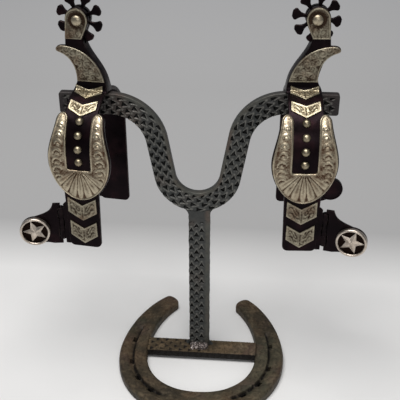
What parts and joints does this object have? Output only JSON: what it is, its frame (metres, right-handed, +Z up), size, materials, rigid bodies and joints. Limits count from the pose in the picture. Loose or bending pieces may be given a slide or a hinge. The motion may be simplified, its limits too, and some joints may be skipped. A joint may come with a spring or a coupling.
{
  "type": "pair of western spurs on a display stand",
  "caption": "Silver-mounted western show spurs with rowels and swinging buttons, hung on a rasp-bar and horseshoe stand.",
  "frame": {"origin": "on the floor under the middle of the overall box, midway between the two spurs", "axes": "+Z up; +X towards the right spur, along the arms, the longest horizontal way; +Y back, towards the horseshoe's heels; the toe points to -Y"},
  "size_m": [0.2661, 0.1539, 0.3237],
  "materials": {
    "dark_steel": "browned steel, satin gloss",
    "silver": "engraved nickel silver, aged",
    "rasp_steel": "dark worn rasp",
    "rusty_iron": "rust-brown forged",
    "weld_metal": "bare weld bead"
  },
  "bodies": {
    "stand": {"horseshoe_base": "rusty_iron", "cross_bar": "rusty_iron", "upright_bar": "rasp_steel", "yoke_bar": "rasp_steel", "foot_weld": "weld_metal", "yoke_weld": "rasp_steel", "bar_end_welds": "rusty_iron"},
    "left_spur": {"left_heel_band": "dark_steel", "left_shank": "dark_steel", "left_shank_plate": "silver", "left_guard_overlay": "silver", "left_buckle_overlay": "silver", "left_upper_chevrons": "silver", "left_lower_chevrons": "silver", "left_band_studs": "silver", "left_rowel_pin": "silver", "left_outer_hinge_pin": "dark_steel", "left_inner_hinge_pin": "dark_steel"},
    "left_rowel": {"left_rowel": "dark_steel"},
    "left_outer_button": {"left_outer_button_leaf": "dark_steel", "left_outer_concho": "silver", "left_outer_button_post": "silver"},
    "left_inner_button": {"left_inner_button_leaf": "dark_steel", "left_inner_button": "dark_steel"},
    "right_spur": {"right_heel_band": "dark_steel", "right_shank": "dark_steel", "right_shank_plate": "silver", "right_guard_overlay": "silver", "right_buckle_overlay": "silver", "right_upper_chevrons": "silver", "right_lower_chevrons": "silver", "right_band_studs": "silver", "right_rowel_pin": "silver", "right_outer_hinge_pin": "dark_steel", "right_inner_hinge_pin": "dark_steel"},
    "right_rowel": {"right_rowel": "dark_steel"},
    "right_outer_button": {"right_outer_button_leaf": "dark_steel", "right_outer_concho": "silver", "right_outer_button_post": "silver"},
    "right_inner_button": {"right_inner_button_leaf": "dark_steel", "right_inner_button": "dark_steel"}
  },
  "joints": [
    {"name": "left_spur_lift", "type": "slide", "parent": "stand", "child": "left_spur", "axis": [0, 0, 1], "range_m": [0, 0.13]},
    {"name": "left_rowel_spin", "type": "hinge", "parent": "left_spur", "child": "left_rowel", "pos_m": [-0.08446, 0.00915, 0.3018], "axis": [0.1184, 0.993, 0], "continuous": true},
    {"name": "left_outer_button_swing", "type": "hinge", "parent": "left_spur", "child": "left_outer_button", "pos_m": [-0.10183, -0.02755, 0.152], "axis": [0, 0, 1], "range_deg": [-104, 76]},
    {"name": "left_inner_button_swing", "type": "hinge", "parent": "left_spur", "child": "left_inner_button", "pos_m": [-0.09271, 0.04891, 0.152], "axis": [0, 0, 1], "range_deg": [-90, 90]},
    {"name": "right_spur_lift", "type": "slide", "parent": "stand", "child": "right_spur", "axis": [0, 0, 1], "range_m": [0, 0.13]},
    {"name": "right_rowel_spin", "type": "hinge", "parent": "right_spur", "child": "right_rowel", "pos_m": [0.08449, 0.00881, 0.3062], "axis": [-0.0558, 0.9984, 0], "continuous": true},
    {"name": "right_outer_button_swing", "type": "hinge", "parent": "right_spur", "child": "right_outer_button", "pos_m": [0.09952, -0.02891, 0.1564], "axis": [0, 0, 1], "range_deg": [-74, 106]},
    {"name": "right_inner_button_swing", "type": "hinge", "parent": "right_spur", "child": "right_inner_button", "pos_m": [0.09522, 0.04797, 0.1564], "axis": [0, 0, 1], "range_deg": [-90, 90]}
  ]
}
